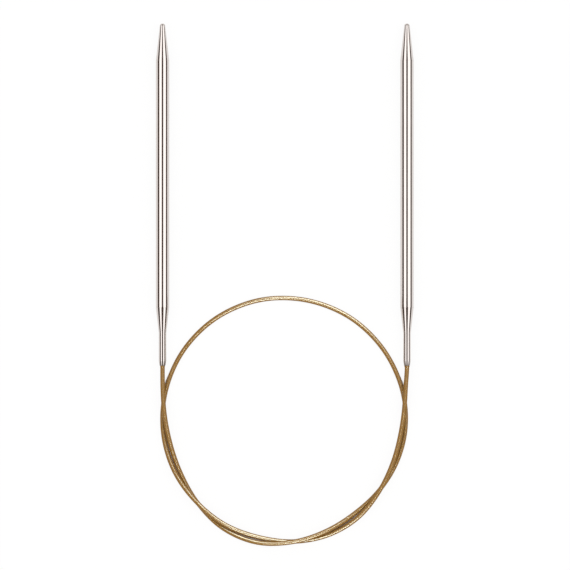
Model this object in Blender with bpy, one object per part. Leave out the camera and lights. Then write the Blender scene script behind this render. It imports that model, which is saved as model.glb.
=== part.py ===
"""Circular knitting needle: two plated metal needles joined by one long plastic cord.

The object lies flat on a table at z = 0, with both needles pointing along +Y and the cord
lying behind them in a loop of one and a half turns. Each needle is a tube, closed in front by
a turned point and behind by a turned tail. The tail tapers to a slim neck, whose pressed-in lip
lets the cord through. Inside the tail, a sleeve crimped on the cord's end stops it pulling out.
"""
import math

import bmesh
import bpy
from mathutils import Vector

MM = 0.001

# Needle, from the point to the neck's mouth
SHANK_DIAMETER = 5.5 * MM
SHANK_WALL = 0.5 * MM
SHANK_LENGTH = 102.2 * MM
POINT_LENGTH = 15.3 * MM
POINT_BLUNT_DIAMETER = 2.2 * MM
POINT_DOME_HEIGHT = 0.9 * MM
TAPER_LENGTH = 10.6 * MM
NECK_LENGTH = 11.4 * MM
NECK_WALL = 0.55 * MM
LIP_LENGTH = 2.1 * MM
LIP_WALL = 0.26 * MM
LIP_EDGE_RADIUS = 0.12 * MM
NEEDLE_SPACING = 101.2 * MM

# Spigots of the point and the tail, pressed into the shank's two ends
SPIGOT_LENGTH = 6.0 * MM
SPIGOT_CHAMFER = 0.4 * MM
FIT_GAP = 0.05 * MM
BUTT_GAP = 0.05 * MM

# Sleeve crimped on the cord's end, and its seat inside the tail
SLEEVE_WALL = 0.4 * MM
SLEEVE_LENGTH = 7.0 * MM
SLEEVE_SEAT_WALL = 0.4 * MM
SLEEVE_SEAT_GAP = 0.1 * MM
SLEEVE_CRIMP_DEPTH = 0.15 * MM
SLEEVE_CRIMP_WIDTH = 1.2 * MM
CORD_PAST_SLEEVE = 0.6 * MM

# Cord
CORD_DIAMETER = 1.8 * MM
CORD_BORE_GAP = 0.1 * MM
CORD_LIP_GAP = 0.06 * MM
TABLE_GAP = 0.02 * MM
CROSSING_GAP = 0.5 * MM

# Middle of the cord's loop on the table, to the right of the needles' midline and behind their mouths
LOOP_CENTRE_RIGHT = 0.1 * MM
LOOP_CENTRE_BEHIND = 22.45 * MM

# Route of the cord from the left neck to the right one: the direction from the loop's middle in
# degrees, the distance from it in millimetres, and the lift, which is 0 for a strand on the
# table and 1 for a strand that passes over another.
CORD_ROUTE = (
    # Left lead, down to the first crossing, which it passes over
    (166.2, 52.1, 0.96),
    (171.6, 50.9, 1.0),
    # First turn: inside on the left, outside below, inside again, outside on the right
    (189.0, 48.64, 0.76),
    (206.0, 48.52, 0.24),
    (223.0, 49.95, 0.0),
    (240.0, 51.76, 0.13),
    (257.0, 52.06, 0.75),
    (273.5, 50.6, 1.0),
    (290.0, 49.1, 0.84),
    (307.0, 48.34, 0.24),
    (323.5, 48.83, 0.0),
    (339.0, 49.5, 0.0),
    (354.0, 50.0, 0.0),
    (369.0, 50.15, 0.0),
    # Over the far side, on the table by itself
    (392.0, 50.1, 0.0),
    (416.0, 50.2, 0.0),
    (439.0, 50.3, 0.0),
    (462.0, 50.7, 0.0),
    (485.0, 50.9, 0.0),
    (508.0, 50.95, 0.0),
    (531.6, 50.85, 0.0),
    # Second turn, on the other side of the first one
    (549.0, 50.74, 0.24),
    (566.0, 50.48, 0.76),
    (583.0, 49.95, 1.0),
    (600.0, 49.95, 0.87),
    (617.0, 49.87, 0.25),
    (633.5, 50.6, 0.0),
    (650.0, 50.99, 0.16),
    (667.0, 50.46, 0.76),
    (683.5, 48.85, 1.0),
    (699.0, 48.0, 0.9),
    (714.0, 48.25, 0.86),
    (729.0, 50.26, 1.0),
    # Right lead, up to the neck
    (735.6, 51.9, 0.95),
)

# Facets of the turned pieces, a number that leaves one flat facet underneath
TURNED_SIDES = 32
DOME_STEPS = 5
LIP_EDGE_STEPS = 3
SMOOTH_ANGLE = math.radians(20.0)

# Steps of the cord's smooth curve between two points of its route, of its tube along the free
# length and round it, and of the finer line on which its gap to itself is measured
ROUTE_STEPS = 24
CORD_TUBE_STEPS = 77
CORD_BEVEL_STEPS = 2
GAP_STEPS = 4

# Strands nearer along the cord than this many diameters count as one strand
SAME_STRAND_DIAMETERS = 20

# Finishes: colour, metallic and roughness
NICKEL_PLATE = ((0.76, 0.74, 0.72), 1.0, 0.1)
BRASS = ((0.71, 0.55, 0.26), 1.0, 0.3)
GOLD_PLASTIC = ((0.36, 0.23, 0.085), 0.0, 0.3)

# Radii that mating pieces share, from the cord outwards and from the shank inwards
CORD_RADIUS = CORD_DIAMETER / 2
CORD_BORE_RADIUS = CORD_RADIUS + CORD_BORE_GAP
NECK_RADIUS = CORD_BORE_RADIUS + NECK_WALL
LIP_BORE_RADIUS = CORD_RADIUS + CORD_LIP_GAP
LIP_RADIUS = LIP_BORE_RADIUS + LIP_WALL
SLEEVE_RADIUS = CORD_BORE_RADIUS + SLEEVE_WALL
SLEEVE_SEAT_RADIUS = SLEEVE_RADIUS + FIT_GAP
SHANK_RADIUS = SHANK_DIAMETER / 2
SHANK_BORE_RADIUS = SHANK_RADIUS - SHANK_WALL
SPIGOT_RADIUS = SHANK_BORE_RADIUS - FIT_GAP
SPIGOT_BEVEL = min(SPIGOT_CHAMFER, (SPIGOT_RADIUS - SLEEVE_SEAT_RADIUS) / 2)

# Places along a needle, measured forward from the neck's mouth. The sleeve's seat is where the
# taper has grown thick enough to leave its wall.
NECK_END = LIP_LENGTH + NECK_LENGTH
TAIL_END = NECK_END + TAPER_LENGTH
SHANK_START = TAIL_END + BUTT_GAP
SHANK_END = SHANK_START + SHANK_LENGTH
POINT_START = SHANK_END + BUTT_GAP
NEEDLE_LENGTH = POINT_START + POINT_LENGTH
SEAT_OUTER_RADIUS = SLEEVE_SEAT_RADIUS + SLEEVE_SEAT_WALL
SEAT_SHARE = (SEAT_OUTER_RADIUS - NECK_RADIUS) / (SHANK_RADIUS - NECK_RADIUS)
SLEEVE_SEAT = NECK_END + TAPER_LENGTH * SEAT_SHARE
SLEEVE_START = SLEEVE_SEAT + SLEEVE_SEAT_GAP
CORD_END = SLEEVE_START + SLEEVE_LENGTH + CORD_PAST_SLEEVE

# Height of the needles' axes: the lowest facet of the shank lies on the table
FACET_HALF_ANGLE = math.pi / TURNED_SIDES
AXIS_HEIGHT = SHANK_RADIUS * math.cos(FACET_HALF_ANGLE)
MOUTH_Y = -NEEDLE_LENGTH / 2

# Heights of the cord's strands
CORD_LOW = CORD_RADIUS + TABLE_GAP
CORD_LIFT = CORD_DIAMETER + CROSSING_GAP


def clear_scene():
    """Remove the objects that the scene starts with."""
    for obj in list(bpy.data.objects):
        bpy.data.objects.remove(obj, do_unlink=True)


def make_material(name, colour, metallic, roughness):
    """Return a plain material with the finish of one sort of piece."""
    material = bpy.data.materials.new(name)
    material.use_nodes = True
    shader = material.node_tree.nodes["Principled BSDF"]
    shader.inputs["Base Color"].default_value = (*colour, 1.0)
    shader.inputs["Metallic"].default_value = metallic
    shader.inputs["Roughness"].default_value = roughness
    return material


def quarter_arc(start, end, steps):
    """Return the points of a quarter ellipse between two (radius, y) points, without its start.

    The arc leaves its start along the needle and arrives square to it.
    """
    points = []
    for step in range(1, steps + 1):
        angle = math.pi / 2 * step / steps
        radius = start[0] + (end[0] - start[0]) * (1 - math.cos(angle))
        y = start[1] + (end[1] - start[1]) * math.sin(angle)
        points.append((radius, y))
    return points


def turned_piece(name, profile, closed, pivot, material):
    """Turn a (radius, y) profile about the needle's axis into one solid under its pivot."""
    bm = bmesh.new()
    across = Vector((math.cos(FACET_HALF_ANGLE), 0, math.sin(FACET_HALF_ANGLE)))
    verts = [bm.verts.new(across * radius + Vector((0, y, 0))) for radius, y in profile]
    pairs = list(zip(verts, verts[1:]))
    if closed:
        pairs.append((verts[-1], verts[0]))
    edges = [bm.edges.new(pair) for pair in pairs]
    bmesh.ops.spin(
        bm, geom=verts + edges, cent=(0, 0, 0), axis=(0, 1, 0), angle=2 * math.pi,
        steps=TURNED_SIDES, use_merge=True)
    bmesh.ops.remove_doubles(bm, verts=bm.verts, dist=1e-7)
    bmesh.ops.recalc_face_normals(bm, faces=bm.faces)
    mesh = bpy.data.meshes.new(name)
    bm.to_mesh(mesh)
    bm.free()
    mesh.shade_smooth()
    mesh.set_sharp_from_angle(angle=SMOOTH_ANGLE)
    mesh.materials.append(material)
    piece = bpy.data.objects.new(name, mesh)
    bpy.context.collection.objects.link(piece)
    piece.parent = pivot
    return piece


def point_profile():
    """Outline of the point: spigot, shoulder, straight cone and a small round end."""
    blunt_radius = POINT_BLUNT_DIAMETER / 2
    spigot_end = POINT_START - SPIGOT_LENGTH
    cone_end = (blunt_radius, NEEDLE_LENGTH - POINT_DOME_HEIGHT)
    dome = quarter_arc(cone_end, (0, NEEDLE_LENGTH), DOME_STEPS)
    return [
        (0, spigot_end),
        (SPIGOT_RADIUS - SPIGOT_BEVEL, spigot_end),
        (SPIGOT_RADIUS, spigot_end + SPIGOT_BEVEL),
        (SPIGOT_RADIUS, POINT_START),
        (SHANK_RADIUS, POINT_START),
        cone_end,
        *dome,
    ]


def shank_profile():
    """Outline of the shank's wall: a plain tube."""
    return [
        (SHANK_BORE_RADIUS, SHANK_START),
        (SHANK_RADIUS, SHANK_START),
        (SHANK_RADIUS, SHANK_END),
        (SHANK_BORE_RADIUS, SHANK_END),
    ]


def tail_profile():
    """Outline of the tail's wall: taper, neck and pressed-in lip outside, cord bore inside."""
    spigot_end = TAIL_END + SPIGOT_LENGTH
    edge_start = (LIP_RADIUS, LIP_EDGE_RADIUS)
    edge = quarter_arc(edge_start, (LIP_RADIUS - LIP_EDGE_RADIUS, 0), LIP_EDGE_STEPS)
    return [
        (SLEEVE_SEAT_RADIUS, spigot_end),
        (SPIGOT_RADIUS - SPIGOT_BEVEL, spigot_end),
        (SPIGOT_RADIUS, spigot_end - SPIGOT_BEVEL),
        (SPIGOT_RADIUS, TAIL_END),
        (SHANK_RADIUS, TAIL_END),
        (NECK_RADIUS, NECK_END),
        (NECK_RADIUS, LIP_LENGTH),
        edge_start,
        *edge,
        (LIP_BORE_RADIUS, 0),
        (CORD_BORE_RADIUS, LIP_LENGTH),
        (CORD_BORE_RADIUS, SLEEVE_SEAT),
        (SLEEVE_SEAT_RADIUS, SLEEVE_SEAT),
    ]


def sleeve_profile():
    """Outline of the crimped sleeve's wall: a short tube with two pressed grooves."""
    end = SLEEVE_START + SLEEVE_LENGTH
    crimped_radius = SLEEVE_RADIUS - SLEEVE_CRIMP_DEPTH
    profile = [(CORD_BORE_RADIUS, SLEEVE_START), (SLEEVE_RADIUS, SLEEVE_START)]
    for share in (1 / 3, 2 / 3):
        middle = SLEEVE_START + SLEEVE_LENGTH * share
        profile += [
            (SLEEVE_RADIUS, middle - SLEEVE_CRIMP_WIDTH / 2),
            (crimped_radius, middle - SLEEVE_CRIMP_WIDTH / 4),
            (crimped_radius, middle + SLEEVE_CRIMP_WIDTH / 4),
            (SLEEVE_RADIUS, middle + SLEEVE_CRIMP_WIDTH / 2),
        ]
    return profile + [(SLEEVE_RADIUS, end), (CORD_BORE_RADIUS, end)]


def make_needle(side, x, plated, brass):
    """Make one needle's four pieces on a pivot at its neck's mouth, where the cord bends."""
    pivot = bpy.data.objects.new(side + "_needle_pivot", None)
    pivot.location = (x, MOUTH_Y, AXIS_HEIGHT)
    bpy.context.collection.objects.link(pivot)
    turned_piece(side + "_point", point_profile(), False, pivot, plated)
    turned_piece(side + "_shank", shank_profile(), True, pivot, plated)
    turned_piece(side + "_tail", tail_profile(), True, pivot, plated)
    turned_piece(side + "_cord_sleeve", sleeve_profile(), True, pivot, brass)


def route_points():
    """Return the cord's free route, from the left neck's mouth to the right one's."""
    centre = Vector((LOOP_CENTRE_RIGHT, MOUTH_Y - LOOP_CENTRE_BEHIND, 0))
    points = [Vector((-NEEDLE_SPACING / 2, MOUTH_Y, AXIS_HEIGHT))]
    for degrees, radius, lift in CORD_ROUTE:
        angle = math.radians(degrees)
        flat = Vector((math.cos(angle), math.sin(angle), 0)) * radius * MM
        points.append(centre + flat + Vector((0, 0, CORD_LOW + lift * CORD_LIFT)))
    points.append(Vector((NEEDLE_SPACING / 2, MOUTH_Y, AXIS_HEIGHT)))
    return points


def smooth_curve(points, steps):
    """Return points on a smooth curve through the given ones, with steps in each interval.

    Each interval is a cubic whose end slopes come from the neighbouring points and distances.
    At both ends the curve runs straight along the needles, and it never dips into the table.
    """
    spans = [(b - a).length for a, b in zip(points, points[1:])]
    slopes = [Vector((0, -1, 0))]
    for index in range(1, len(points) - 1):
        before, after = spans[index - 1], spans[index]
        slope_in = (points[index] - points[index - 1]) / before
        slope_out = (points[index + 1] - points[index]) / after
        slopes.append((slope_in * after + slope_out * before) / (before + after))
    slopes.append(Vector((0, 1, 0)))
    curve = [points[0]]
    for index, span in enumerate(spans):
        start, end = points[index], points[index + 1]
        for step in range(1, steps + 1):
            t = step / steps
            point = (
                start * (2 * t ** 3 - 3 * t ** 2 + 1)
                + end * (3 * t ** 2 - 2 * t ** 3)
                + slopes[index] * span * (t ** 3 - 2 * t ** 2 + t)
                + slopes[index + 1] * span * (t ** 3 - t ** 2))
            point.z = max(point.z, CORD_LOW)
            curve.append(point)
    return curve


def evenly_spaced(curve, steps):
    """Return points that divide a dense curve into equal steps, and its length."""
    lengths = [0.0]
    for a, b in zip(curve, curve[1:]):
        lengths.append(lengths[-1] + (b - a).length)
    points = []
    index = 0
    for step in range(steps + 1):
        goal = lengths[-1] * step / steps
        while index < len(curve) - 2 and lengths[index + 1] < goal:
            index += 1
        share = (goal - lengths[index]) / (lengths[index + 1] - lengths[index])
        points.append(curve[index].lerp(curve[index + 1], share))
    return points, lengths[-1]


def least_gap(points):
    """Return the smallest clear distance between two strands of the cord's tube."""
    fine = []
    for a, b in zip(points, points[1:]):
        fine += [a.lerp(b, step / GAP_STEPS) for step in range(GAP_STEPS)]
    apart = round(SAME_STRAND_DIAMETERS * CORD_DIAMETER / (fine[1] - fine[0]).length)
    distances = []
    for index, point in enumerate(fine):
        distances += [(point - other).length for other in fine[index + apart:]]
    return min(distances) - CORD_DIAMETER


def make_cord(material):
    """Make the cord: one tube from sleeve to sleeve, straight inside both needles."""
    free, free_length = evenly_spaced(smooth_curve(route_points(), ROUTE_STEPS), CORD_TUBE_STEPS)
    inside = Vector((0, CORD_END, 0))
    points = [free[0] + inside, *free, free[-1] + inside]
    curve = bpy.data.curves.new("cord", "CURVE")
    curve.dimensions = "3D"
    curve.bevel_depth = CORD_RADIUS
    curve.bevel_resolution = CORD_BEVEL_STEPS
    curve.use_fill_caps = True
    spline = curve.splines.new("POLY")
    spline.points.add(len(points) - 1)
    for target, point in zip(spline.points, points):
        target.co = (*point, 1.0)
    curve.materials.append(material)
    cord = bpy.data.objects.new("cord", curve)
    bpy.context.collection.objects.link(cord)
    print("cord: free length %.1f mm, least gap to itself %.2f mm"
          % (free_length / MM, least_gap(free) / MM))
    print("needle: length %.2f mm, tip to tip %.1f mm"
          % (NEEDLE_LENGTH / MM, (2 * NEEDLE_LENGTH + free_length) / MM))


def main():
    """Build both needles and the cord between them."""
    clear_scene()
    plated = make_material("nickel_plate", *NICKEL_PLATE)
    brass = make_material("brass", *BRASS)
    gold_plastic = make_material("gold_plastic", *GOLD_PLASTIC)
    make_needle("left", -NEEDLE_SPACING / 2, plated, brass)
    make_needle("right", NEEDLE_SPACING / 2, plated, brass)
    make_cord(gold_plastic)


main()
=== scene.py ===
"""Looks of a circular knitting needle: two polished metal needles on one gold plastic cord.

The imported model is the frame. The outer pieces of each needle are turned again here in finer
steps, because a mirror finish shows every facet, and the cord is laid along its route as a smooth
tube. Soft lamps and a white floor show the object from straight above.
"""

import logging
import math
from collections.abc import Sequence
from dataclasses import dataclass, field
from enum import Enum
from typing import NamedTuple

import bmesh
import bpy
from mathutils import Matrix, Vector


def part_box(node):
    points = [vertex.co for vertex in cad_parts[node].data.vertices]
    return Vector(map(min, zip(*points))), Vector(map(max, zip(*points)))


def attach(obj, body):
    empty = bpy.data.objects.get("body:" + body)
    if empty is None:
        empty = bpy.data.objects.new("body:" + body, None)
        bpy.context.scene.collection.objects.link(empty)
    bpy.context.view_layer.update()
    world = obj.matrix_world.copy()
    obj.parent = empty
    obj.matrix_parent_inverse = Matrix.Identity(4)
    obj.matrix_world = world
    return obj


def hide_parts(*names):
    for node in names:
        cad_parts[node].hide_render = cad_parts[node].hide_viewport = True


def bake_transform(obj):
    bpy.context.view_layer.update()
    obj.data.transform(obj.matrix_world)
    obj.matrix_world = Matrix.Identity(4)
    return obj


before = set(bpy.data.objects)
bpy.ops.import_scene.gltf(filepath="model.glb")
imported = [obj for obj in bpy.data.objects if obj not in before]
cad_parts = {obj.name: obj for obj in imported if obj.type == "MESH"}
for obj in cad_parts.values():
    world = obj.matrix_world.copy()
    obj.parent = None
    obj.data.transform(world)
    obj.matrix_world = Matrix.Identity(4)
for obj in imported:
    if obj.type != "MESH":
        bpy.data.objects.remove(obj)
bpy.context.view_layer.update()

LOG = logging.getLogger("circular_needle")
MM = 0.001
# Painted shade: the name of the stored share that darkens the lips.
PAINTED_SHADE = "painted_shade"
CORD_MAP = "along_and_round"
Colour = tuple[float, float, float]
Stretch = tuple[float, float, float]
WHITE: Colour = (1.0, 1.0, 1.0)
SHEEN_COLOUR: Colour = (0.86, 1.0, 0.92)


class Side(Enum):
    """The two needles, as seen from above with the points away from the viewer."""

    LEFT = "left"
    RIGHT = "right"


class Outline(Enum):
    """How a turned outline ends: on the axis, or back at its own start."""

    POLE = "pole"
    RING = "ring"


class LampUse(Enum):
    """What a lamp is for: light and mirror image, or highlights on the cord alone."""

    SOFTBOX = "softbox"
    SHEEN = "sheen"


class Station(NamedTuple):
    """One corner of a turned outline, in metres: place along Y, radius and rounding."""

    y: float
    radius: float
    rounding: float = 0.0


class NodeSheet:
    """A node tree that is being laid out, with short ways to add and join nodes."""

    def __init__(self, tree: bpy.types.NodeTree) -> None:
        """Start on a tree.

        Args:
            tree: The material's, world's or group's node tree.
        """
        self.tree = tree

    def add(self, kind: str, **settings: object) -> bpy.types.Node:
        """Add one node.

        Args:
            kind: The node's Blender type.
            **settings: Properties of the node, by name.

        Returns:
            The new node.
        """
        node = self.tree.nodes.new(kind)
        for name, value in settings.items():
            setattr(node, name, value)
        return node

    def join(self, source: bpy.types.NodeSocket, target: bpy.types.NodeSocket) -> None:
        """Link an output to an input."""
        self.tree.links.new(source, target)

    def scaled(self, source: bpy.types.NodeSocket, factor: float, offset: float) -> bpy.types.NodeSocket:
        """Multiply a value and add to it.

        Args:
            source: The output that gives the value.
            factor: What it is multiplied by.
            offset: What is added afterwards.

        Returns:
            The output with the result.
        """
        node = self.add("ShaderNodeMath", operation="MULTIPLY_ADD")
        self.join(source, node.inputs[0])
        node.inputs[1].default_value = factor
        node.inputs[2].default_value = offset
        return node.outputs[0]

    def combined(
        self, operation: str, first: bpy.types.NodeSocket, second: bpy.types.NodeSocket,
    ) -> bpy.types.NodeSocket:
        """Combine two values.

        Args:
            operation: The Math node's operation.
            first: The output that gives the first value.
            second: The output that gives the second value.

        Returns:
            The output with the result.
        """
        node = self.add("ShaderNodeMath", operation=operation)
        self.join(first, node.inputs[0])
        self.join(second, node.inputs[1])
        return node.outputs[0]

    def stepped(self, source: bpy.types.NodeSocket, low: float, high: float) -> bpy.types.NodeSocket:
        """Turn a value into a smooth step.

        Args:
            source: The output that gives the value.
            low: Where the step starts from 0.
            high: Where it reaches 1.

        Returns:
            The output with the step.
        """
        node = self.add("ShaderNodeMapRange", interpolation_type="SMOOTHSTEP")
        node.inputs["From Min"].default_value = low
        node.inputs["From Max"].default_value = high
        self.join(source, node.inputs["Value"])
        return node.outputs["Result"]

    def mixed(
        self, factor: bpy.types.NodeSocket, first: bpy.types.NodeSocket | Colour,
        second: bpy.types.NodeSocket | Colour,
    ) -> bpy.types.NodeSocket:
        """Mix two colours.

        Args:
            factor: The output with the share of the second colour.
            first: A colour, or the output that gives it.
            second: A colour, or the output that gives it.

        Returns:
            The output with the mixed colour.
        """
        node = self.add("ShaderNodeMix", data_type="RGBA")
        self.join(factor, node.inputs["Factor"])
        colours = [socket for socket in node.inputs if socket.type == "RGBA"]
        for socket, colour in zip(colours, (first, second)):
            if isinstance(colour, tuple):
                socket.default_value = (*colour, 1.0)
            else:
                self.join(colour, socket)
        return next(socket for socket in node.outputs if socket.type == "RGBA")


class SurfaceEffects:
    """Shader groups that several finishes share."""

    LINE_DETAIL = 3.0
    MARK_DETAIL = 4.0
    MARK_EDGE = (0.48, 0.7)

    def __init__(self) -> None:
        """Build the groups once."""
        self.drawn_lines = self._build_drawn_lines()
        self.handling_marks = self._build_handling_marks()

    @staticmethod
    def _new_group(
        name: str, inputs: dict[str, str], output: str,
    ) -> tuple[NodeSheet, dict[str, bpy.types.NodeSocket], bpy.types.NodeSocket]:
        """Start a group with one value output.

        Args:
            name: The group's name.
            inputs: Socket types by input name.
            output: The output's name.

        Returns:
            The group's sheet, its input sockets by name and the socket that takes its result.
        """
        tree = bpy.data.node_groups.new(name, "ShaderNodeTree")
        for label, kind in inputs.items():
            tree.interface.new_socket(label, in_out="INPUT", socket_type=kind)
        tree.interface.new_socket(output, in_out="OUTPUT", socket_type="NodeSocketFloat")
        sheet = NodeSheet(tree)
        given = sheet.add("NodeGroupInput").outputs
        result = sheet.add("NodeGroupOutput").inputs[output]
        return sheet, {label: given[label] for label in inputs}, result

    def _build_drawn_lines(self) -> bpy.types.NodeTree:
        """Build fine uneven lines that run along one direction of the surface.

        Returns:
            The group: its Stretch input holds the lines per metre along each axis.
        """
        inputs = {"Vector": "NodeSocketVector", "Stretch": "NodeSocketVector"}
        sheet, given, result = self._new_group("drawn_lines", inputs, "Lines")
        stretched = sheet.add("ShaderNodeVectorMath", operation="MULTIPLY")
        sheet.join(given["Vector"], stretched.inputs[0])
        sheet.join(given["Stretch"], stretched.inputs[1])
        noise = sheet.add("ShaderNodeTexNoise")
        noise.inputs["Scale"].default_value = 1.0
        noise.inputs["Detail"].default_value = self.LINE_DETAIL
        sheet.join(stretched.outputs[0], noise.inputs["Vector"])
        sheet.join(noise.outputs["Fac"], result)
        return sheet.tree

    def _build_handling_marks(self) -> bpy.types.NodeTree:
        """Build soft blotches such as fingers leave.

        Returns:
            The group: Scale is blotches per metre, and Marks is 0 on clean surface.
        """
        inputs = {"Vector": "NodeSocketVector", "Scale": "NodeSocketFloat"}
        sheet, given, result = self._new_group("handling_marks", inputs, "Marks")
        blotches = sheet.add("ShaderNodeTexNoise")
        blotches.inputs["Detail"].default_value = self.MARK_DETAIL
        sheet.join(given["Vector"], blotches.inputs["Vector"])
        sheet.join(given["Scale"], blotches.inputs["Scale"])
        sheet.join(sheet.stepped(blotches.outputs["Fac"], *self.MARK_EDGE), result)
        return sheet.tree

    def lines(
        self, sheet: NodeSheet, vector: bpy.types.NodeSocket, stretch: Stretch,
    ) -> bpy.types.NodeSocket:
        """Place the drawn lines in a material.

        Args:
            sheet: The material's sheet.
            vector: The coordinates that the lines follow.
            stretch: Lines per metre along each axis.

        Returns:
            The output with the lines, from 0 to 1.
        """
        node = sheet.add("ShaderNodeGroup", node_tree=self.drawn_lines)
        sheet.join(vector, node.inputs["Vector"])
        node.inputs["Stretch"].default_value = stretch
        return node.outputs["Lines"]

    def marks(
        self, sheet: NodeSheet, vector: bpy.types.NodeSocket, scale: float,
    ) -> bpy.types.NodeSocket:
        """Place the handling marks in a material.

        Args:
            sheet: The material's sheet.
            vector: The coordinates that the marks lie on.
            scale: Blotches per metre.

        Returns:
            The output with the marks, from 0 to 1.
        """
        node = sheet.add("ShaderNodeGroup", node_tree=self.handling_marks)
        sheet.join(vector, node.inputs["Vector"])
        node.inputs["Scale"].default_value = scale
        return node.outputs["Marks"]


def new_material(name: str) -> tuple[bpy.types.Material, NodeSheet, bpy.types.Node]:
    """Start a material on a Principled shader.

    Args:
        name: The material's name.

    Returns:
        The material, its sheet and its shader.
    """
    material = bpy.data.materials.new(name)
    material.use_nodes = True
    sheet = NodeSheet(material.node_tree)
    return material, sheet, material.node_tree.nodes["Principled BSDF"]


def add_relief(
    sheet: NodeSheet, shader: bpy.types.Node, height: bpy.types.NodeSocket, depth: float,
) -> None:
    """Give a material a fine relief.

    Args:
        sheet: The material's sheet.
        shader: The material's shader.
        height: The output with the relief's height, from 0 to 1.
        depth: The relief's depth in metres.
    """
    bump = sheet.add("ShaderNodeBump")
    bump.inputs["Distance"].default_value = depth
    sheet.join(height, bump.inputs["Height"])
    sheet.join(bump.outputs["Normal"], shader.inputs["Normal"])


@dataclass(frozen=True)
class NickelPlate:
    """Mirror-polished nickel plate, with faint polishing lines, and painted shade that darkens each lip."""

    colour: Colour = (0.69, 0.645, 0.62)
    # Painted shade: the dark colour that the lip and its rim are painted towards.
    painted_shade_colour: Colour = (0.12, 0.09, 0.07)
    roughness: float = 0.03
    line_roughness: float = 0.02
    mark_roughness: float = 0.02
    line_stretch: Stretch = (9000.0, 60.0, 9000.0)
    line_depth: float = 0.0000006
    marks_per_metre: float = 70.0

    def material(self, effects: SurfaceEffects) -> bpy.types.Material:
        """Make the finish.

        Args:
            effects: The shared shader groups.

        Returns:
            The material.
        """
        material, sheet, shader = new_material("nickel_plate")
        place = sheet.add("ShaderNodeTexCoord").outputs["Object"]
        lines = effects.lines(sheet, place, self.line_stretch)
        marks = effects.marks(sheet, place, self.marks_per_metre)
        # Painted shade: each point's stored share darkens the plate towards the dark colour.
        painted_shade = sheet.add("ShaderNodeAttribute", attribute_name=PAINTED_SHADE).outputs["Fac"]
        sheet.join(sheet.mixed(painted_shade, self.colour, self.painted_shade_colour), shader.inputs["Base Color"])
        fine = sheet.scaled(lines, self.line_roughness, self.roughness - self.line_roughness / 2)
        rough = sheet.combined("ADD", fine, sheet.scaled(marks, self.mark_roughness, 0.0))
        sheet.join(rough, shader.inputs["Roughness"])
        add_relief(sheet, shader, lines, self.line_depth)
        shader.inputs["Metallic"].default_value = 1.0
        return material


@dataclass(frozen=True)
class GoldPlastic:
    """Smooth semi-gloss plastic, coloured gold through and through, drawn out in one length."""

    colour: Colour = (0.222, 0.106, 0.01)
    pale_colour: Colour = (0.248, 0.124, 0.016)
    glint: float = 0.06
    roughness: float = 0.42
    mark_roughness: float = 0.02
    gloss: float = 0.27
    gloss_roughness: float = 0.26
    gloss_refraction: float = 2.2
    cloud_stretch: Stretch = (55.0, 260.0, 1.0)
    line_stretch: Stretch = (40.0, 7000.0, 1.0)
    line_depth: float = 0.0000002
    marks_per_metre: float = 120.0

    def material(self, effects: SurfaceEffects) -> bpy.types.Material:
        """Make the finish.

        Args:
            effects: The shared shader groups.

        Returns:
            The material.
        """
        material, sheet, shader = new_material("gold_plastic")
        place = sheet.add("ShaderNodeUVMap", uv_map=CORD_MAP).outputs["UV"]
        clouds = effects.lines(sheet, place, self.cloud_stretch)
        lines = effects.lines(sheet, place, self.line_stretch)
        marks = effects.marks(sheet, place, self.marks_per_metre)
        sheet.join(sheet.mixed(clouds, self.colour, self.pale_colour), shader.inputs["Base Color"])
        sheet.join(sheet.scaled(marks, self.mark_roughness, self.roughness), shader.inputs["Roughness"])
        add_relief(sheet, shader, lines, self.line_depth)
        shader.inputs["Metallic"].default_value = self.glint
        shader.inputs["Specular IOR Level"].default_value = 0.0
        shader.inputs["Coat Weight"].default_value = self.gloss
        shader.inputs["Coat Roughness"].default_value = self.gloss_roughness
        shader.inputs["Coat IOR"].default_value = self.gloss_refraction
        return material


@dataclass(frozen=True)
class TurnedBrass:
    """Plain brass with fine turning lines."""

    colour: Colour = (0.71, 0.55, 0.26)
    dull_colour: Colour = (0.52, 0.38, 0.17)
    roughness: float = 0.3
    line_roughness: float = 0.12
    line_stretch: Stretch = (150.0, 12000.0, 150.0)
    marks_per_metre: float = 300.0

    def material(self, effects: SurfaceEffects) -> bpy.types.Material:
        """Make the finish.

        Args:
            effects: The shared shader groups.

        Returns:
            The material.
        """
        material, sheet, shader = new_material("turned_brass")
        place = sheet.add("ShaderNodeTexCoord").outputs["Object"]
        lines = effects.lines(sheet, place, self.line_stretch)
        marks = effects.marks(sheet, place, self.marks_per_metre)
        sheet.join(sheet.mixed(marks, self.colour, self.dull_colour), shader.inputs["Base Color"])
        sheet.join(sheet.scaled(lines, self.line_roughness, self.roughness), shader.inputs["Roughness"])
        shader.inputs["Metallic"].default_value = 1.0
        return material


def quarter_arc(start: Station, end: Station, steps: int) -> list[Station]:
    """Give the stations of a quarter ellipse, without its start.

    Args:
        start: Where the arc leaves along the axis.
        end: Where it arrives square to the axis.
        steps: How many stations it has.

    Returns:
        The stations, the last of which is the end.
    """
    stations = []
    for step in range(1, steps + 1):
        angle = math.pi / 2 * step / steps
        radius = start.radius + (end.radius - start.radius) * (1 - math.cos(angle))
        y = start.y + (end.y - start.y) * math.sin(angle)
        stations.append(Station(y, max(radius, 0.0)))
    return stations


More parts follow.
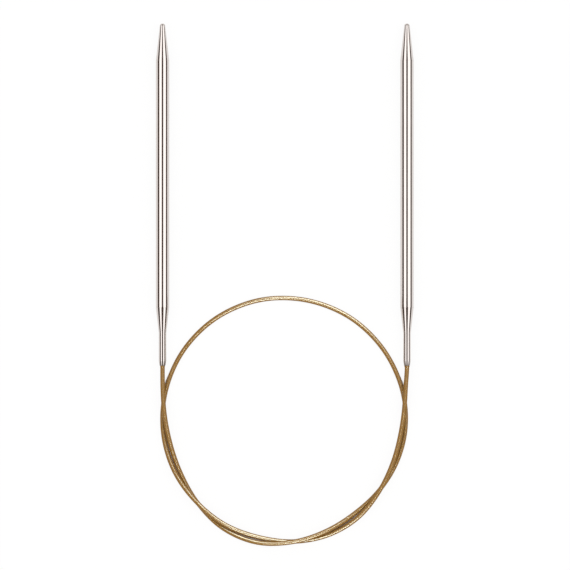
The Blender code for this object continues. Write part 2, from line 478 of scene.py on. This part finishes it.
def rounded(outline: Sequence[Station], steps: int, hold: float) -> list[Station]:
    """Round the corners of an outline that ask for it.

    Args:
        outline: The outline's corners in order.
        steps: How many steps a rounded corner has.
        hold: How far beside a rounded corner a further station keeps the straight stretch straight.

    Returns:
        The stations of the outline with its corners rounded.
    """
    result = [outline[0]]
    for before, corner, after in zip(outline, outline[1:], outline[2:]):
        if corner.rounding <= 0:
            result.append(corner)
            continue
        middle = Vector((corner.y, corner.radius))
        back = Vector((before.y, before.radius)) - middle
        ahead = Vector((after.y, after.radius)) - middle
        turn = math.pi - back.angle(ahead)
        reach = min(corner.rounding * math.tan(turn / 2), back.length / 2, ahead.length / 2)
        first = middle + back.normalized() * reach
        last = middle + ahead.normalized() * reach
        points = [middle + back.normalized() * min(reach + hold, back.length / 2)]
        for step in range(steps + 1):
            share = step / steps
            points.append(first.lerp(middle, share).lerp(middle.lerp(last, share), share))
        points.append(middle + ahead.normalized() * min(reach + hold, ahead.length / 2))
        result += [Station(point.x, point.y) for point in points]
    return [*result, outline[-1]]


class Lathe:
    """Turns pieces about a needle's axis: a ring is added, pulled along and resized, step by step."""

    SIDES = 96
    CREASE = math.radians(24.0)
    WELD = 0.000001

    def __init__(self, axis_x: float, axis_z: float) -> None:
        """Set the axis, which runs along Y.

        Args:
            axis_x: Its place across.
            axis_z: Its height.
        """
        self.axis_x = axis_x
        self.axis_z = axis_z

    def turn(self, name: str, stations: Sequence[Station], outline: Outline) -> bpy.types.Object:
        """Turn one closed piece.

        Args:
            name: The piece's name.
            stations: Its outline, which starts off the axis.
            outline: How the outline ends.

        Returns:
            The piece, smooth, with its place in its mesh.
        """
        start = stations[0]
        bpy.ops.object.select_all(action="DESELECT")
        bpy.ops.mesh.primitive_circle_add(
            vertices=self.SIDES, radius=start.radius, fill_type="NOTHING",
            location=(self.axis_x, start.y, self.axis_z), rotation=(math.pi / 2, 0, 0))
        piece = bpy.context.object
        piece.name = name
        piece.data.name = name
        bpy.ops.object.transform_apply(location=True, rotation=True, scale=True)
        bpy.ops.object.mode_set(mode="EDIT")
        bpy.ops.mesh.select_all(action="SELECT")
        for before, after in zip(stations, stations[1:]):
            self._pull(before, after)
        if outline is Outline.POLE:
            bpy.ops.mesh.merge(type="CENTER")
            self._close_ring(piece, start)
        bpy.ops.mesh.select_all(action="SELECT")
        bpy.ops.mesh.remove_doubles(threshold=self.WELD)
        bpy.ops.mesh.normals_make_consistent(inside=False)
        bpy.ops.object.mode_set(mode="OBJECT")
        bpy.ops.object.shade_smooth_by_angle(angle=self.CREASE)
        return piece

    def _pull(self, before: Station, after: Station) -> None:
        """Pull the selected ring on to the next station and resize it there."""
        bpy.ops.mesh.extrude_region_move(TRANSFORM_OT_translate={"value": (0, after.y - before.y, 0)})
        share = after.radius / before.radius
        centre = (self.axis_x, after.y, self.axis_z)
        bpy.ops.transform.resize(value=(share, 1, share), center_override=centre)

    def _close_ring(self, piece: bpy.types.Object, station: Station) -> None:
        """Close the open ring at a station with one face."""
        bpy.ops.mesh.select_all(action="DESELECT")
        mesh = bmesh.from_edit_mesh(piece.data)
        for edge in mesh.edges:
            edge.select = edge.is_boundary and abs(edge.verts[0].co.y - station.y) < self.WELD
        mesh.select_flush(True)
        bmesh.update_edit_mesh(piece.data)
        bpy.ops.mesh.edge_face_add()


@dataclass
class Needle:
    """One needle: a point, a shank and a tail, which move as one body."""

    side: Side
    shank_radius: float = 2.75 * MM
    shank_wall: float = 0.5 * MM
    point_blunt_radius: float = 1.1 * MM
    point_dome_height: float = 0.9 * MM
    taper_length: float = 10.6 * MM
    neck_length: float = 11.4 * MM
    neck_radius: float = 1.55 * MM
    lip_length: float = 2.1 * MM
    lip_radius: float = 1.22 * MM
    lip_edge_radius: float = 0.12 * MM
    lip_bore_radius: float = 0.96 * MM
    cord_bore_radius: float = 1.0 * MM
    sleeve_seat_radius: float = 1.45 * MM
    sleeve_seat: float = 16.15 * MM
    spigot_radius: float = 2.2 * MM
    spigot_chamfer: float = 0.375 * MM
    seam: float = 0.006 * MM
    shoulder_rounding: float = 0.6 * MM
    seam_rounding: float = 0.02 * MM
    hold: float = 0.04 * MM
    # Painted shade on the lip, darkest at the rim: its shares, and the lengths over which it fades.
    lip_shade: float = 0.4
    lip_fade: float = 0.4 * MM
    rim_shade: float = 0.33
    rim_length: float = 0.28 * MM
    rim_fade: float = 0.2 * MM
    dome_steps: int = 10
    corner_steps: int = 4
    pieces: list[bpy.types.Object] = field(default_factory=list)

    def __post_init__(self) -> None:
        """Read the needle's place from the frame."""
        self.body = self.side.value + "_needle"
        shank_low, shank_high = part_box(self._node("shank"))
        point_low, point_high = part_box(self._node("point"))
        tail_low, tail_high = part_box(self._node("tail"))
        self.axis_x = (shank_low.x + shank_high.x) / 2
        self.axis_z = (shank_low.z + shank_high.z) / 2
        self.mouth_y = tail_low.y
        self.tail_end_y = self.mouth_y + self.lip_length + self.neck_length + self.taper_length
        self.tail_spigot_y = tail_high.y
        self.shank_end_y = shank_high.y
        self.point_spigot_y = point_low.y
        self.tip_y = point_high.y
        self.lathe = Lathe(self.axis_x, self.axis_z)

    def _node(self, piece: str) -> str:
        """Give the CAD node's name of one of the needle's pieces."""
        return f"{self.side.value}_{piece}"

    @property
    def mouth(self) -> Vector:
        """The middle of the neck's mouth, where the cord comes out and the needle swings."""
        return Vector((self.axis_x, self.mouth_y, self.axis_z))

    def build(self) -> None:
        """Turn the three pieces and set them on the needle's body."""
        outlines = {
            "point": (self._point_outline(), Outline.POLE),
            "shank": (self._shank_outline(), Outline.RING),
            "tail": (self._tail_outline(), Outline.RING),
        }
        for piece, (stations, outline) in outlines.items():
            made = self.lathe.turn(f"{self.side.value}_polished_{piece}", stations, outline)
            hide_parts(self._node(piece))
            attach(made, self.body)
            self.pieces.append(made)

    def dress(self, plate: bpy.types.Material, brass: bpy.types.Material) -> None:
        """Give the pieces their finishes.

        Args:
            plate: The finish of the turned pieces.
            brass: The finish of the hidden sleeve on the cord's end.
        """
        for piece in self.pieces:
            # Painted shade darkens the lip, and its rim most.
            self._paint_shade(piece)
            piece.data.materials.append(plate)
            LOG.info("%s: %d faces", piece.name, len(piece.data.polygons))
        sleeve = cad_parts[self._node("cord_sleeve")]
        sleeve.data.materials.clear()
        sleeve.data.materials.append(brass)

    def _paint_shade(self, piece: bpy.types.Object) -> None:
        """Store how much painted shade each point of a piece gets: the lip some, and its rim most of all.
        """
        painted_shade = piece.data.attributes.new(PAINTED_SHADE, "FLOAT", "POINT")
        bands = (
            (self.lip_length, self.lip_fade, self.lip_shade),
            (self.rim_length, self.rim_fade, self.rim_shade),
        )
        for vertex, value in zip(piece.data.vertices, painted_shade.data):
            from_mouth = vertex.co.y - self.mouth_y
            for length, fade, shade_share in bands:
                value.value += shade_share * min(1.0, max(0.0, (length - from_mouth) / fade))

    def _point_outline(self) -> list[Station]:
        """Outline of the point: spigot, shoulder, straight cone and a small round end."""
        shoulder_y = self.shank_end_y + self.seam
        cone_end = Station(self.tip_y - self.point_dome_height, self.point_blunt_radius, self.seam_rounding)
        tip = Station(self.tip_y, 0.0)
        corners = [
            Station(self.point_spigot_y, self.spigot_radius - self.spigot_chamfer),
            Station(self.point_spigot_y + self.spigot_chamfer, self.spigot_radius),
            Station(shoulder_y, self.spigot_radius),
            Station(shoulder_y, self.shank_radius, self.seam_rounding),
            cone_end,
            *quarter_arc(cone_end, tip, self.dome_steps),
        ]
        return rounded(corners, self.corner_steps, self.hold)

    def _shank_outline(self) -> list[Station]:
        """Outline of the shank's wall: a plain tube with hardly broken edges."""
        start_y = self.tail_end_y + self.seam
        bore = self.shank_radius - self.shank_wall
        corners = [
            Station(start_y, bore),
            Station(start_y, self.shank_radius, self.seam_rounding),
            Station(self.shank_end_y, self.shank_radius, self.seam_rounding),
            Station(self.shank_end_y, bore),
            Station(start_y, bore),
        ]
        return rounded(corners, self.corner_steps, self.hold)

    def _tail_outline(self) -> list[Station]:
        """Outline of the tail's wall: taper, neck and pressed-in lip outside, cord bore inside."""
        neck_end_y = self.mouth_y + self.lip_length + self.neck_length
        lip_y = self.mouth_y + self.lip_length
        edge = Station(self.mouth_y + self.lip_edge_radius, self.lip_radius, self.seam_rounding)
        mouth = Station(self.mouth_y, self.lip_radius - self.lip_edge_radius)
        seat_y = self.mouth_y + self.sleeve_seat
        corners = [
            Station(self.tail_spigot_y, self.sleeve_seat_radius),
            Station(self.tail_spigot_y, self.spigot_radius - self.spigot_chamfer),
            Station(self.tail_spigot_y - self.spigot_chamfer, self.spigot_radius),
            Station(self.tail_end_y, self.spigot_radius),
            Station(self.tail_end_y, self.shank_radius, self.seam_rounding),
            Station(neck_end_y, self.neck_radius, self.shoulder_rounding),
            Station(lip_y, self.neck_radius, self.shoulder_rounding),
            edge,
            *quarter_arc(edge, mouth, self.corner_steps),
            Station(self.mouth_y, self.lip_bore_radius),
            Station(lip_y, self.cord_bore_radius),
            Station(seat_y, self.cord_bore_radius),
            Station(seat_y, self.sleeve_seat_radius),
            Station(self.tail_spigot_y, self.sleeve_seat_radius),
        ]
        return rounded(corners, self.corner_steps, self.hold)


class RoutePoint(NamedTuple):
    """One point of the cord's route.

    It is given by its angle about the middle of the loop, its distance from there and its height,
    which is 0 on the table and 1 over another strand.
    """

    degrees: float
    millimetres: float
    lift: float


@dataclass
class Cord:
    """The cord: one plastic strand from neck to neck, in a loop of one and a half turns.

    The strand is laid in three lengths, which meet where another strand covers them: the two leads,
    which bend on the real cord where the needles swing, and the loop between them.
    """

    left: Needle
    right: Needle
    diameter: float = 1.8 * MM
    fullness: float = 0.025 * MM
    table_gap: float = 0.02 * MM
    crossing_gap: float = 0.5 * MM
    loop_right: float = 0.1 * MM
    loop_behind: float = 22.45 * MM
    inside_neck: float = 6.0 * MM
    bend_length: float = 24.0 * MM
    ring_step: float = 0.6 * MM
    sides: int = 24
    route_steps: int = 24
    left_bead: float = 0.06
    right_bead: float = 0.16
    bead_length: float = 0.75 * MM
    bead_rise: float = 0.1 * MM
    bead_fall: float = 0.25 * MM
    bead_step: float = 0.05 * MM
    least_ring_gap: float = 0.0125 * MM
    left_seam_degrees: float = 223.0
    right_seam_degrees: float = 633.5
    route: tuple[RoutePoint, ...] = (
        RoutePoint(166.2, 52.1, 0.96),
        RoutePoint(171.6, 50.9, 1.0),
        RoutePoint(189.0, 48.64, 0.76),
        RoutePoint(206.0, 48.52, 0.24),
        RoutePoint(223.0, 49.95, 0.0),
        RoutePoint(240.0, 51.76, 0.13),
        RoutePoint(257.0, 52.06, 0.75),
        RoutePoint(273.5, 50.6, 1.0),
        RoutePoint(290.0, 49.1, 0.84),
        RoutePoint(307.0, 48.34, 0.24),
        RoutePoint(323.5, 48.83, 0.0),
        RoutePoint(339.0, 49.5, 0.0),
        RoutePoint(354.0, 50.0, 0.0),
        RoutePoint(369.0, 50.15, 0.0),
        RoutePoint(392.0, 50.1, 0.0),
        RoutePoint(416.0, 50.2, 0.0),
        RoutePoint(439.0, 50.3, 0.0),
        RoutePoint(462.0, 50.7, 0.0),
        RoutePoint(485.0, 50.9, 0.0),
        RoutePoint(508.0, 50.95, 0.0),
        RoutePoint(531.6, 50.85, 0.0),
        RoutePoint(549.0, 50.74, 0.24),
        RoutePoint(566.0, 50.48, 0.76),
        RoutePoint(583.0, 49.95, 1.0),
        RoutePoint(600.0, 49.95, 0.87),
        RoutePoint(617.0, 49.87, 0.25),
        RoutePoint(633.5, 50.6, 0.0),
        RoutePoint(650.0, 50.99, 0.16),
        RoutePoint(667.0, 50.46, 0.76),
        RoutePoint(683.5, 48.85, 1.0),
        RoutePoint(699.0, 48.0, 0.9),
        RoutePoint(714.0, 48.25, 0.86),
        RoutePoint(729.0, 50.26, 1.0),
        RoutePoint(735.6, 51.9, 0.95),
    )
    pieces: list[bpy.types.Object] = field(default_factory=list)

    def __post_init__(self) -> None:
        """Work out the whole strand's line and where its three lengths meet."""
        self.low = self.diameter / 2 + self.table_gap
        self.lift = self.diameter + self.crossing_gap
        self.line = self._smooth_line()
        self.along = self._distances_along(self.line)
        seams = [self._distance_at(d) for d in (self.left_seam_degrees, self.right_seam_degrees)]
        self.cuts = [-self.inside_neck, *seams, self.along[-1] + self.inside_neck]

    @property
    def free_length(self) -> float:
        """The cord's length from mouth to mouth."""
        return self.along[-1]

    def _route_places(self) -> list[Vector]:
        """Give the route's points in the frame, from the left mouth to the right one."""
        centre = Vector((self.loop_right, self.left.mouth_y - self.loop_behind, 0))
        places = [self.left.mouth]
        for point in self.route:
            angle = math.radians(point.degrees)
            flat = Vector((math.cos(angle), math.sin(angle), 0)) * point.millimetres * MM
            places.append(centre + flat + Vector((0, 0, self.low + point.lift * self.lift)))
        return [*places, self.right.mouth]

    def _smooth_line(self) -> list[Vector]:
        """Lay a smooth curve through the route, straight at both necks and never in the table.

        Returns:
            The curve's points, with the same number of steps between each two route points.
        """
        places = self._route_places()
        spans = [(b - a).length for a, b in zip(places, places[1:])]
        slopes = [Vector((0, -1, 0))]
        for index in range(1, len(places) - 1):
            before, after = spans[index - 1], spans[index]
            slope_in = (places[index] - places[index - 1]) / before
            slope_out = (places[index + 1] - places[index]) / after
            slopes.append((slope_in * after + slope_out * before) / (before + after))
        slopes.append(Vector((0, 1, 0)))
        line = [places[0]]
        for index, span in enumerate(spans):
            for step in range(1, self.route_steps + 1):
                t = step / self.route_steps
                point = (
                    places[index] * (2 * t ** 3 - 3 * t ** 2 + 1)
                    + places[index + 1] * (3 * t ** 2 - 2 * t ** 3)
                    + slopes[index] * span * (t ** 3 - 2 * t ** 2 + t)
                    + slopes[index + 1] * span * (t ** 3 - t ** 2))
                point.z = max(point.z, self.low)
                line.append(point)
        return line

    @staticmethod
    def _distances_along(line: list[Vector]) -> list[float]:
        """Measure a line.

        Args:
            line: Its points.

        Returns:
            Each point's distance along it.
        """
        along = [0.0]
        for a, b in zip(line, line[1:]):
            along.append(along[-1] + (b - a).length)
        return along

    def _distance_at(self, degrees: float) -> float:
        """Give the distance along the cord of one of the route's own points."""
        index = [point.degrees for point in self.route].index(degrees) + 1
        return self.along[index * self.route_steps]

    def _place(self, distance: float) -> Vector:
        """Give the point at a distance along the cord, also inside the necks."""
        if distance <= 0:
            return self.left.mouth + Vector((0, -distance, 0))
        if distance >= self.free_length:
            return self.right.mouth + Vector((0, distance - self.free_length, 0))
        low, high = 0, len(self.along) - 1
        while high - low > 1:
            middle = (low + high) // 2
            low, high = (middle, high) if self.along[middle] <= distance else (low, middle)
        share = (distance - self.along[low]) / (self.along[high] - self.along[low])
        return self.line[low].lerp(self.line[high], share)

    def _radius(self, distance: float) -> float:
        """Give the cord's radius, which has a low bead where it comes out of a neck."""
        from_right = self.free_length - distance
        swell = 0.0
        for gone, bead in ((distance, self.left_bead), (from_right, self.right_bead)):
            share = min(gone / self.bead_rise, (self.bead_length - gone) / self.bead_fall, 1.0)
            swell += bead * max(0.0, share)
        return (self.diameter / 2 + self.fullness) * (1 + swell)

    def _ring_distances(self, start: float, end: float) -> list[float]:
        """Space a length's rings evenly, with more of them on the beads.

        Args:
            start: The distance along the cord where the length starts.
            end: The distance where it ends.

        Returns:
            The rings' distances along the cord in order.
        """
        steps = round((end - start) / self.ring_step)
        distances = [start + (end - start) * step / steps for step in range(steps + 1)]
        for step in range(round(self.bead_length / self.bead_step) + 1):
            gone = step * self.bead_step
            distances += [place for place in (gone, self.free_length - gone) if start < place < end]
        distances.sort()
        apart = [b for a, b in zip(distances, distances[1:]) if b - a > self.least_ring_gap]
        return [start, *apart]

    def _tube(self, name: str, start: float, end: float) -> tuple[bpy.types.Object, list[Vector]]:
        """Make one length of the cord as a closed tube.

        Args:
            name: The piece's name.
            start: The distance along the cord where it starts.
            end: The distance where it ends.

        Returns:
            The piece and the middles of its rings.
        """
        distances = self._ring_distances(start, end)
        middles = [self._place(distance) for distance in distances]
        mesh = bmesh.new()
        rings = []
        for distance, middle in zip(distances, middles):
            ahead = self._place(distance + self.ring_step) - self._place(distance - self.ring_step)
            across = ahead.cross(Vector((0, 0, 1))).normalized()
            upward = across.cross(ahead).normalized()
            radius = self._radius(distance)
            ring = []
            for side in range(self.sides):
                angle = 2 * math.pi * side / self.sides
                ring.append(mesh.verts.new(
                    middle + (across * math.cos(angle) + upward * math.sin(angle)) * radius))
            rings.append(ring)
        uv_layer = mesh.loops.layers.uv.new(CORD_MAP)
        round_step = math.pi * self.diameter / self.sides
        for index, (ring, following) in enumerate(zip(rings, rings[1:])):
            for side in range(self.sides):
                other = (side + 1) % self.sides
                face = mesh.faces.new((ring[side], ring[other], following[other], following[side]))
                places = (
                    (distances[index], side), (distances[index], side + 1),
                    (distances[index + 1], side + 1), (distances[index + 1], side))
                for loop, (distance, turn) in zip(face.loops, places):
                    loop[uv_layer].uv = (distance, turn * round_step)
        mesh.faces.new(rings[0])
        mesh.faces.new(reversed(rings[-1]))
        bmesh.ops.recalc_face_normals(mesh, faces=mesh.faces)
        data = bpy.data.meshes.new(name)
        mesh.to_mesh(data)
        mesh.free()
        data.shade_smooth()
        piece = bpy.data.objects.new(name, data)
        bpy.context.scene.collection.objects.link(piece)
        return piece, middles

    def build(self) -> None:
        names = ("left_cord_lead", "cord_loop", "right_cord_lead")
        for name, start, end in zip(names, self.cuts, self.cuts[1:]):
            piece, middles = self._tube(name, start, end)
            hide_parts("cord")
            self.pieces.append(piece)
            LOG.info("%s: %.1f mm long", name, (end - start) / MM)
        left_lead, loop, right_lead = self.pieces
        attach(loop, "cord")
        for lead, needle in ((left_lead, self.left), (right_lead, self.right)):
            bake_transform(lead)

    def dress(self, plastic: bpy.types.Material) -> None:
        """Give the three lengths their finish."""
        for piece in self.pieces:
            piece.data.materials.append(plastic)


@dataclass(frozen=True)
class SoftLamp:
    """One flat soft lamp: its direction from the object in degrees, and its size and place in metres.

    Its shift moves it along Y without turning it.
    """

    name: str
    azimuth: float
    zenith: float
    width: float
    height: float
    shift: float = 0.0
    distance: float = 2.5
    radiance: float = 1.5
    use: LampUse = LampUse.SOFTBOX
    colour: Colour = WHITE

    def build(self, aim: Vector, cord: bpy.types.Collection) -> None:
        """Hang the lamp so that it faces the object.

        Args:
            aim: The point that it faces.
            cord: The pieces that a sheen lamp shows on.
        """
        data = bpy.data.lights.new(self.name, "AREA")
        data.shape = "RECTANGLE"
        data.size = self.width
        data.size_y = self.height
        data.energy = self.radiance * math.pi * self.width * self.height
        data.color = self.colour
        lamp = bpy.data.objects.new(self.name, data)
        bpy.context.scene.collection.objects.link(lamp)
        round_angle = math.radians(self.azimuth)
        tilt = math.radians(self.zenith)
        sideways = math.sin(tilt)
        away = Vector((
            sideways * math.cos(round_angle), sideways * math.sin(round_angle), math.cos(tilt)))
        lamp.location = aim + away * self.distance + Vector((0, self.shift, 0))
        lamp.rotation_euler = away.to_track_quat("Z", "Y").to_euler()
        lamp.visible_camera = False
        if self.use is LampUse.SHEEN:
            lamp.visible_diffuse = False
            lamp.light_linking.receiver_collection = cord


@dataclass(frozen=True)
class Studio:
    """Floor, lamps and camera: a flat lay on white, seen from straight above."""

    view_centre: tuple[float, float] = (0.1 * MM, -37.45 * MM)
    view_width: float = 235.98 * MM
    view_plane: float = 2.74 * MM
    camera_height: float = 1.5
    camera_reach: float = 100.0
    sensor_width: float = 36.0
    floor_size: float = 12.0
    floor_centre: tuple[float, float] = (1.5, 0.0)
    floor_drop: float = 0.03 * MM
    floor_colour: Colour = (0.93, 0.93, 0.93)
    floor_white: float = 0.92
    mirrored_white: float = 0.45
    # Painted shade: where strands hem the floor in, it turns dark brown, warmed as by light off the gold.
    gap_reach: float = 3.0 * MM
    gap_samples: int = 32
    gap_openness: tuple[float, float] = (0.41, 0.5)
    gap_shade_colour: Colour = (0.2, 0.105, 0.04)
    backdrop: Colour = WHITE
    ambient: Colour = (0.78, 0.756, 0.745)
    surround: Colour = (0.09, 0.066, 0.055)
    ceiling: Colour = (0.2, 0.185, 0.175)
    panels: Colour = (0.85, 0.82, 0.8)
    panel_edge: tuple[float, float] = (0.16, 0.36)
    room_ends: tuple[float, float] = (0.13, 0.5)
    lamps: tuple[SoftLamp, ...] = (
        SoftLamp("left_softbox", azimuth=180.0, zenith=34.6, width=1.03, height=1.92, shift=0.485),
        SoftLamp("right_softbox", azimuth=0.0, zenith=37.7, width=1.03, height=2.23, shift=0.485),
        SoftLamp("near_left_softbox", azimuth=180.0, zenith=35.75, width=0.97, height=1.457, shift=-0.515),
        SoftLamp("near_right_softbox", azimuth=0.0, zenith=38.5, width=0.97, height=1.722, shift=-0.515),
        SoftLamp(
            "far_sheen", azimuth=70.5, zenith=45.0, width=1.46, height=1.8, distance=2.0, radiance=25.5,
            use=LampUse.SHEEN, colour=SHEEN_COLOUR),
        SoftLamp(
            "near_sheen", azimuth=-79.0, zenith=34.0, width=0.6, height=1.35, distance=2.0, radiance=30.0,
            use=LampUse.SHEEN, colour=SHEEN_COLOUR),
    )

    def build(self, cord: Cord) -> None:
        """Set up everything that isn't the object.

        Args:
            cord: The cord, which the sheen lamps show on.
        """
        scene = bpy.context.scene
        scene.view_settings.view_transform = "Standard"
        aim = Vector((*self.view_centre, 0))
        cord_pieces = bpy.data.collections.new("cord_pieces")
        for piece in cord.pieces:
            cord_pieces.objects.link(piece)
        for lamp in self.lamps:
            lamp.build(aim, cord_pieces)
        self._build_surround(scene)
        self._build_floor()
        self._build_camera(scene)

    def _build_surround(self, scene: bpy.types.Scene) -> None:
        """Light a white room softly; gloss shows it dim, with a ceiling and side panels at its ends."""
        world = bpy.data.worlds.new("surround")
        world.use_nodes = True
        # The room's light is even, so it takes no share of the light picks from the lamps.
        world.cycles.sampling_method = "NONE"
        sheet = NodeSheet(world.node_tree)
        direction = sheet.add("ShaderNodeSeparateXYZ")
        sheet.join(sheet.add("ShaderNodeTexCoord").outputs["Generated"], direction.inputs["Vector"])
        squares = [sheet.combined("MULTIPLY", part, part) for part in direction.outputs]
        sideways = sheet.combined("DIVIDE", squares[0], sheet.combined("ADD", squares[0], squares[2]))
        end = sheet.mixed(sheet.stepped(sideways, *self.panel_edge), self.ceiling, self.panels)
        room = sheet.mixed(sheet.stepped(squares[1], *self.room_ends), self.surround, end)
        path = sheet.add("ShaderNodeLightPath").outputs
        light = sheet.mixed(path["Is Glossy Ray"], self.ambient, room)
        colour = sheet.mixed(path["Is Camera Ray"], light, self.backdrop)
        sheet.join(colour, world.node_tree.nodes["Background"].inputs["Color"])
        scene.world = world

    def _build_floor(self) -> None:
        """Lay a white floor, which keeps a light shadow and has painted shade, dark brown, in tight gaps
        between strands.
        """
        bpy.ops.object.select_all(action="DESELECT")
        place = (*self.floor_centre, -self.floor_drop)
        bpy.ops.mesh.primitive_plane_add(size=self.floor_size, location=place)
        floor = bpy.context.object
        floor.name = "floor"
        material, sheet, shader = new_material("white_floor")
        # The floor's white is for the camera and for mirrors, and isn't a lamp.
        material.cycles.emission_sampling = "NONE"
        shader.inputs["Roughness"].default_value = 1.0
        shader.inputs["Specular IOR Level"].default_value = 0.0
        openness = sheet.add("ShaderNodeAmbientOcclusion", samples=self.gap_samples)
        openness.inputs["Distance"].default_value = self.gap_reach
        open_floor = sheet.stepped(openness.outputs["AO"], *self.gap_openness)
        # Painted shade: in tight gaps the floor's colour turns dark brown, and less of its white shows.
        sheet.join(sheet.mixed(open_floor, self.gap_shade_colour, self.floor_colour), shader.inputs["Base Color"])
        path = sheet.add("ShaderNodeLightPath").outputs
        mirrored = sheet.combined("ADD", path["Is Glossy Ray"], path["Is Transmission Ray"])
        white_share = sheet.scaled(open_floor, self.floor_white, 0.0)
        seen = sheet.combined("MULTIPLY", path["Is Camera Ray"], white_share)
        share = sheet.combined("ADD", seen, sheet.scaled(mirrored, self.mirrored_white, 0.0))
        white = sheet.add("ShaderNodeEmission")
        mix = sheet.add("ShaderNodeMixShader")
        sheet.join(share, mix.inputs[0])
        sheet.join(shader.outputs["BSDF"], mix.inputs[1])
        sheet.join(white.outputs["Emission"], mix.inputs[2])
        output = next(node for node in sheet.tree.nodes if node.type == "OUTPUT_MATERIAL")
        sheet.join(mix.outputs[0], output.inputs["Surface"])
        floor.data.materials.append(material)

    def _build_camera(self, scene: bpy.types.Scene) -> None:
        """Hang the camera over the object, looking straight down with a long lens."""
        data = bpy.data.cameras.new("overhead_camera")
        data.sensor_width = self.sensor_width
        data.lens = self.sensor_width * (self.camera_height - self.view_plane) / self.view_width
        data.clip_end = self.camera_reach
        camera = bpy.data.objects.new("overhead_camera", data)
        camera.location = (*self.view_centre, self.camera_height)
        scene.collection.objects.link(camera)
        scene.camera = camera


def main() -> None:
    """Build the studio, the needles and the cord, and dress them."""
    logging.basicConfig(level=logging.INFO, format="%(name)s: %(message)s")
    effects = SurfaceEffects()
    plate = NickelPlate().material(effects)
    brass = TurnedBrass().material(effects)
    plastic = GoldPlastic().material(effects)
    needles = {side: Needle(side) for side in Side}
    for needle in needles.values():
        needle.build()
        needle.dress(plate, brass)
    cord = Cord(needles[Side.LEFT], needles[Side.RIGHT])
    cord.build()
    cord.dress(plastic)
    Studio().build(cord)


if __name__ == "__main__":
    main()
